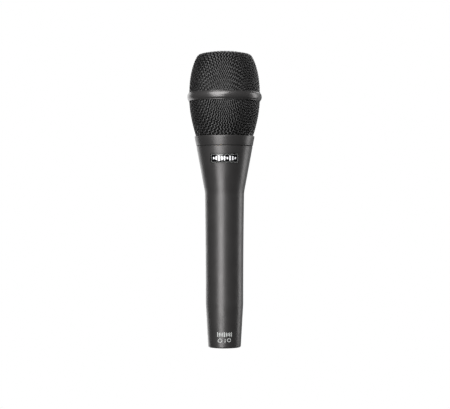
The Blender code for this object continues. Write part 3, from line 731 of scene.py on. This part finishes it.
# ---- capsule -----------------------------------------------------------------------------------------------
def capsule():
    carrier = lathe("capsule_cradle", [
        (4.0, 140.0, 0.3), (7.0, 140.0, 0.5), (7.0, 141.0, 0.3), (5.7, 141.3), (5.7, 145.6, 0.3),
        (12.6, 145.6, 0.5), (12.6, 168.0, 0.4), (11.75, 168.0, 0.2), (11.75, CARRIER_LEDGE),
        (11.0, CARRIER_LEDGE, 0.2), (11.0, 147.6, 0.8), (4.0, 147.6, 0.3),
    ], ["black_plastic"])
    windows = [block("window", size, (0, 0, 154.5), [], 1.2) for size in ((30, 9, 9), (9, 30, 9))]
    cut(carrier, *windows)
    finish_piece(carrier, "capsule", ["capsule_carrier"])
    stack = (       # name, CAD node, material and slot, bottom, height, inner radius
        ("rear_ring", "rear_clamp_ring", "brass", 163.0, 1.2, 8.6),
        ("rear_plate", "rear_backplate", "brass", 165.0, 2.0, 0),
        ("insulating_spacer", "capsule_spacer", "white_plastic", 167.3, 3.0, 7.0),
        ("front_plate", "front_backplate", "brass", 170.6, 2.0, 0),
        ("front_ring", "front_clamp_ring", "brass", 173.4, 1.2, 8.6),
    )
    outer, edge = 11.4, 0.15
    screw_places = [around(10.5, 60 * n) for n in range(6)]
    for name, node, material, bottom, height, inner in stack:
        top = bottom + height
        inside = [(inner, top, edge), (inner, bottom, edge)] if inner else [(0, top), (0, bottom)]
        made = lathe(name, [*inside[1:], (outer, bottom, edge), (outer, top, edge), inside[0]], [material])
        if node in ("front_backplate", "front_clamp_ring"):
            cut(made, *[rod("screw_hole", 0.7, (x, y, 171.2), (x, y, 176)) for x, y in screw_places])
        finish_piece(made, "capsule", [node])
    for name, node, bottom in (("rear_film", "rear_diaphragm", 164.5), ("front_film", "front_diaphragm", 172.9)):
        ripples = []
        for n in range(48):
            radius = 9.7 * (n + 1) / 48
            wave = 0.035 * math.cos(radius * 5.2) if 4.5 < radius < 9.3 else 0.035
            ripples.append((radius, wave))
        under = [(0, bottom), *[(r, bottom + 0.035 + w) for r, w in ripples]]
        over = [(r, bottom + 0.135 + w) for r, w in reversed(ripples)]
        film = lathe(name, [*under, *over, (0, bottom + 0.2)], ["gold"], 96)
        finish_piece(film, "capsule", [node])
    terminal = lathe("film_terminal", [(0, 173.12), (1.3, 173.12, 0.1), (1.3, 173.45, 0.12), (0.55, 173.55, 0.1),
                                       (0.55, 174.1, 0.2), (0, 174.15)], ["gold"], SMALL_STEPS)
    finish_piece(terminal, "capsule")
    for number, place in enumerate(screw_places, 1):
        recessed_screw(f"clamp_screw_head_{number}", place, (171.6, CAPSULE_TOP, 175.45), 0.85, 0.4, "capsule",
                       f"clamp_screw_{number}", "slot")


def capsule_leads():
    routes = (("front_wire", "front_lead", "lead_red", 150, -3.0), ("ground_wire", "ground_lead", "lead_black", 270, 0),
              ("rear_wire", "rear_lead", "lead_white", 30, 3.0))
    for name, node, material, angle, header_x in routes:
        (x, y), (mid_x, mid_y), (stem_x, stem_y) = (around(r, angle) for r in (9.9, 5.6, 1.9))
        points = [(x, y, 162.05), (x, y, 160.2), (mid_x, mid_y, 154.2), (stem_x, stem_y, 148.6),
                  (stem_x, stem_y, 133.0), (stem_x, stem_y, 118.0), (header_x, -2.2, 102.0), (header_x, -2.3, 94.8)]
        finish_piece(wire(name, points, 0.45, material), "handle", [node])


# ---- grille ------------------------------------------------------------------------------------------------
def collar():
    foot = LOWER_RIM - 0.3
    ring = lathe("collar_ring", [
        (17.5, COLLAR_BOTTOM, 0.1), (18.25, COLLAR_BOTTOM, 0.2), (19.42, COLLAR_TOP, 0.45),
        (lower_basket_radius(COLLAR_TOP) + 0.3, COLLAR_TOP, 0.1), (lower_basket_radius(foot) + 0.3, foot),
        (16.4, foot), (16.4, COLLAR_BOTTOM + 1.0), (17.5, COLLAR_BOTTOM + 1.0),
    ], ["enamel"], 192)
    finish_piece(ring, "grille", ["grille_collar"])
    thread = helix_thread("collar_thread", 16.4, 16.12, (131.9, 134.2), "casting")
    finish_piece(thread, "grille")
    seal = lathe("seal_ring_cord", [(16.5, 129.65, 0.25), (17.2, 129.65, 0.25), (17.2, 130.6, 0.25),
                                    (16.5, 130.6, 0.25)], ["rubber"])
    finish_piece(seal, "seal", ["seal_ring"])


def band():
    """The bulging ring round the grille's waist, and the web inside it that parts the baskets."""
    bulge, half = BAND_RADIUS - GRILLE_RADIUS, (BAND_TOP - BAND_BOTTOM) / 2
    sweep = (half ** 2 + bulge ** 2) / (2 * bulge)
    middle = (BAND_TOP + BAND_BOTTOM) / 2
    bead = []
    for step in range(1, 24):
        rise = half * (step / 12 - 1)
        bead.append((BAND_RADIUS - sweep + math.sqrt(sweep ** 2 - rise ** 2), middle + rise))
    seat, inner = GRILLE_RADIUS + 0.2, GRILLE_RADIUS - BASKET_WALL
    # the band gets the lighter copy of the enamel, a painted highlight
    ring = lathe("band_ring", [
        (seat, BAND_BOTTOM), *bead, (seat, BAND_TOP), (seat, SPLIT[1] - 0.3), (inner, SPLIT[1] - 0.3, 0.2),
        (inner, SPLIT[0] + 0.3, 0.2), (seat, SPLIT[0] + 0.3),
    ], ["band_enamel_painted_highlight"], 192)
    finish_piece(ring, "grille", ["grille_band"])


class DrawnNet:
    """A flat square net of wires pressed over a turned outline, with its bias facing -Y.

    The net is read by u and v, in millimetres across its two families of wires, from its centre. Over the dome it
    keeps its squares. Down the side it has to lose width: where the wires run diagonally (front, back, left and
    right) its squares close sideways and stretch down into tall diamonds, and between those its wires crowd together.
    """
    FLAT, DRAWN = 13.0, 24.0    # distances from the net's centre where drawing begins and is complete
    DIAGONAL_STRETCH, STRAIGHT_STRETCH = 0.28, 0.06
    CROWDING = 0.28

    def __init__(self, outline, start):
        """The outline runs away from the net's centre, and its first point is that far from it along the net."""
        self.outline = np.array(outline)
        steps = np.linalg.norm(np.diff(self.outline, axis=0), axis=1)
        self.along = start + np.concatenate([[0], np.cumsum(steps)])
        self.slope = np.gradient(self.outline, self.along, axis=0)

    def place(self, u, v):
        """Points on the surface, the normals there, and how far along the outline they are."""
        flat, turn = np.hypot(u, v), np.arctan2(v, u)
        span = self.DRAWN - self.FLAT
        excess = np.clip(flat - self.FLAT, 0, span) ** 2 / (2 * span) + np.maximum(flat - self.DRAWN, 0)
        drawn = np.clip((flat - self.FLAT) / span, 0, 1)
        diagonal = np.sin(2 * turn) ** 2
        stretch = self.STRAIGHT_STRETCH + (self.DIAGONAL_STRETCH - self.STRAIGHT_STRETCH) * diagonal
        along = flat + stretch * excess
        angle = turn + math.pi / 4 + self.CROWDING * drawn * np.sin(4 * turn) / 4
        radius, height = (np.interp(along, self.along, self.outline[:, n]) for n in (0, 1))
        out, up = (np.interp(along, self.along, self.slope[:, n]) for n in (1, 0))
        points = np.stack([radius * np.cos(angle), radius * np.sin(angle), height], axis=-1)
        normals = np.stack([-out * np.cos(angle), -out * np.sin(angle), up], axis=-1)
        return points, normals / np.linalg.norm(normals, axis=-1, keepdims=True), along


def woven_basket(node, net, heights):
    """Two families of wires, each wire over one of the others and under the next, kept between two heights."""
    low, high = heights
    per_pitch, sides = 4, 6
    reach = int(net.along[-1] / PITCH)
    steps = np.arange(-reach * per_pitch, reach * per_pitch + 1) / per_pitch
    for family in (0, 1):
        verts, faces, total = [], [], 0
        for n in range(-reach, reach + 1):
            across, down = np.full(len(steps), n * PITCH), steps * PITCH
            points, normals, along = net.place(*((across, down) if family == 0 else (down, across)))
            swing = np.cos(np.pi * (steps + n + family)) * WIRE / 2
            path = points + normals * swing[:, None]
            inside = (path[:, 2] >= low) & (path[:, 2] <= high) & (along > net.along[0]) & (along < net.along[-1])
            edges = np.flatnonzero(np.diff(np.concatenate([[False], inside, [False]]).astype(int)))
            for start, end in zip(edges[::2], edges[1::2]):
                if end - start < 4:
                    continue
                verts.append(tube_rings(path[start:end], normals[start:end], WIRE / 2, sides))
                faces += tube_faces(total, end - start, sides)
                total += (end - start) * sides
        made = mesh_piece(f"{node}_wires_{'ab'[family]}", np.vstack(verts), faces, ["wire"], 60.0)
        finish_piece(made, "grille", [node])


def baskets():
    """The upper basket's net is centred on the dome's top. The lower one was drawn upwards from below the collar."""
    upper = dome_line(WIRE, SPLIT[1])[::-1] + [(GRILLE_RADIUS - WIRE, SPLIT[1] - 3)]
    woven_basket("upper_basket", DrawnNet(upper, 0), (SPLIT[1], GRILLE_TOP))
    lower = belly_line(WIRE, LOWER_RIM - 1, SPLIT[0] + 3, steps=24)
    woven_basket("lower_basket", DrawnNet(lower, DrawnNet.FLAT), (LOWER_RIM, SPLIT[0]))


def windscreen():
    """The fine screens behind the baskets and the foam inside them."""
    near, far = BASKET_WALL + 0.3, BASKET_WALL + 0.7
    upper = dome_line(near, SPLIT[1]) + dome_line(far, SPLIT[1])[::-1]
    finish_piece(lathe("upper_fine_screen", upper, ["screen"]), "windscreen", ["upper_screen"])
    spans = (LOWER_RIM + 0.5, SPLIT[0], SCREEN_TUCK)
    lower = belly_line(near, *spans) + belly_line(far, *spans)[::-1]
    finish_piece(lathe("lower_fine_screen", lower, ["screen"]), "windscreen", ["lower_screen"])
    near = far + 0.6
    far = near + 2.0
    spans = (LOWER_RIM + 5.0, 160.0, SCREEN_TUCK)
    outer = belly_line(near, *spans) + dome_line(near, SPLIT[1])
    inner = belly_line(far, *spans) + dome_line(far, SPLIT[1])
    foam = lathe("foam_windscreen", outer + inner[::-1], ["foam"])
    for vert in foam.data.vertices:
        pores = noise.noise(vert.co / (0.9 * MM))
        vert.co += vert.normal * (pores - 0.6) * 0.12 * MM
    finish_piece(foam, "windscreen", ["windscreen_liner"])


# ---- CAD nodes that keep their shape -----------------------------------------------------------------------
KEPT = {
    "circuit_board": "board", "board_support_lower": "black_plastic", "board_support_upper": "black_plastic",
    "capsule_header": "white_plastic", "output_header": "white_plastic", "electrolytic_capacitor_1": "blue",
    "electrolytic_capacitor_2": "blue", "film_capacitor_1": "red_resin", "film_capacitor_2": "red_resin",
    "amplifier_chip": "black_plastic", "input_transistor": "steel", "bias_converter": "black_plastic",
    "damping_foam": "foam", "ground_spring": "brass", "output_lead_1": "lead_black", "output_lead_2": "lead_red",
    "output_lead_3": "lead_white",
}


def keep_cad_nodes():
    for node, material in KEPT.items():
        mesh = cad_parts[node].data
        mesh.materials.clear()
        mesh.materials.append(MATERIALS[material])


# ---- studio ------------------------------------------------------------------------------------------------
WHITE = (1, 1, 1, 1)
LIT_POINT = Vector((0, 0, 0.10))        # metres, in the middle of the microphone
LIGHT_DISTANCE = 1.2


def plain_white():
    """A material that is the backdrop's white, whatever the light."""
    material = bpy.data.materials.new("pale_floor")
    material.use_nodes = True
    nodes = material.node_tree.nodes
    nodes.clear()
    glow = nodes.new("ShaderNodeEmission")
    glow.inputs["Color"].default_value = WHITE
    glow.inputs["Strength"].default_value = 1.0
    output = nodes.new("ShaderNodeOutputMaterial")
    material.node_tree.links.new(glow.outputs[0], output.inputs[0])
    return material


def floor():
    """A pale table top that fades into the pale backdrop."""
    mesh = bpy.data.meshes.new("floor")
    half = 6.0
    mesh.from_pydata([(-half, -half, 0), (half, -half, 0), (half, half, 0), (-half, half, 0)], [], [(0, 1, 2, 3)])
    ground = bpy.data.objects.new("floor", mesh)
    bpy.context.collection.objects.link(ground)
    mesh.materials.append(plain_white())
    ground.visible_glossy = False
    ground.visible_diffuse = False
    ground.visible_shadow = False


def softbox(name, azimuth, elevation, size, watts):
    """A rectangular light that faces the microphone. size is (width, height) in metres."""
    light = bpy.data.lights.new(name, "AREA")
    light.shape = "RECTANGLE"
    light.size, light.size_y = size
    light.energy = watts
    lamp = bpy.data.objects.new(name, light)
    bpy.context.collection.objects.link(lamp)
    turn, rise = math.radians(azimuth), math.radians(elevation)
    away = Vector((math.sin(turn) * math.cos(rise), -math.cos(turn) * math.cos(rise), math.sin(rise)))
    lamp.location = LIT_POINT + away * LIGHT_DISTANCE
    lamp.rotation_euler = away.to_track_quat("Z", "Y").to_euler()
    lamp.visible_camera = False


def studio():
    """Soft lights round the microphone, and a backdrop that is white to the camera and dim to everything else."""
    softbox("key_light", -20, 38, (0.95, 1.12), 28)
    softbox("front_fill", -22, -8, (0.60, 1.00), 15)
    softbox("left_rim", -148, -4, (0.75, 1.20), 6)
    softbox("right_strip", 109, 8, (0.45, 1.20), 8)
    softbox("right_rim", 142, 0, (0.60, 1.20), 1.2)
    softbox("back_fill", 172, 42, (1.00, 0.90), 10)
    world = bpy.data.worlds.new("studio")
    bpy.context.scene.world = world
    world.use_nodes = True
    nodes, links = world.node_tree.nodes, world.node_tree.links
    nodes.clear()
    seen = nodes.new("ShaderNodeBackground")
    seen.inputs["Color"].default_value = WHITE
    seen.inputs["Strength"].default_value = 1.0
    fill = nodes.new("ShaderNodeBackground")
    fill.inputs["Color"].default_value = (0.9, 0.95, 1.0, 1)
    fill.inputs["Strength"].default_value = 0.03
    rays = nodes.new("ShaderNodeLightPath")
    mix = nodes.new("ShaderNodeMixShader")
    output = nodes.new("ShaderNodeOutputWorld")
    links.new(rays.outputs["Is Camera Ray"], mix.inputs[0])
    links.new(fill.outputs[0], mix.inputs[1])
    links.new(seen.outputs[0], mix.inputs[2])
    links.new(mix.outputs[0], output.inputs[0])


def camera():
    """Level with the middle of the microphone and straight in front of it."""
    data = bpy.data.cameras.new("camera")
    data.lens = 107.7
    data.sensor_width = 36
    data.clip_start = 0.05
    seen_from = bpy.data.objects.new("camera", data)
    bpy.context.collection.objects.link(seen_from)
    seen_from.location = (0.0003, -0.870, 0.09205)
    seen_from.rotation_euler = (math.radians(90), 0, 0)
    bpy.context.scene.camera = seen_from
    bpy.context.scene.view_settings.view_transform = "Standard"


handle()
nameplate()
tail_print()
connector()
neck()
base()
switch()
shock_mount()
capsule()
capsule_leads()
collar()
band()
baskets()
windscreen()
keep_cad_nodes()
floor()
studio()
camera()
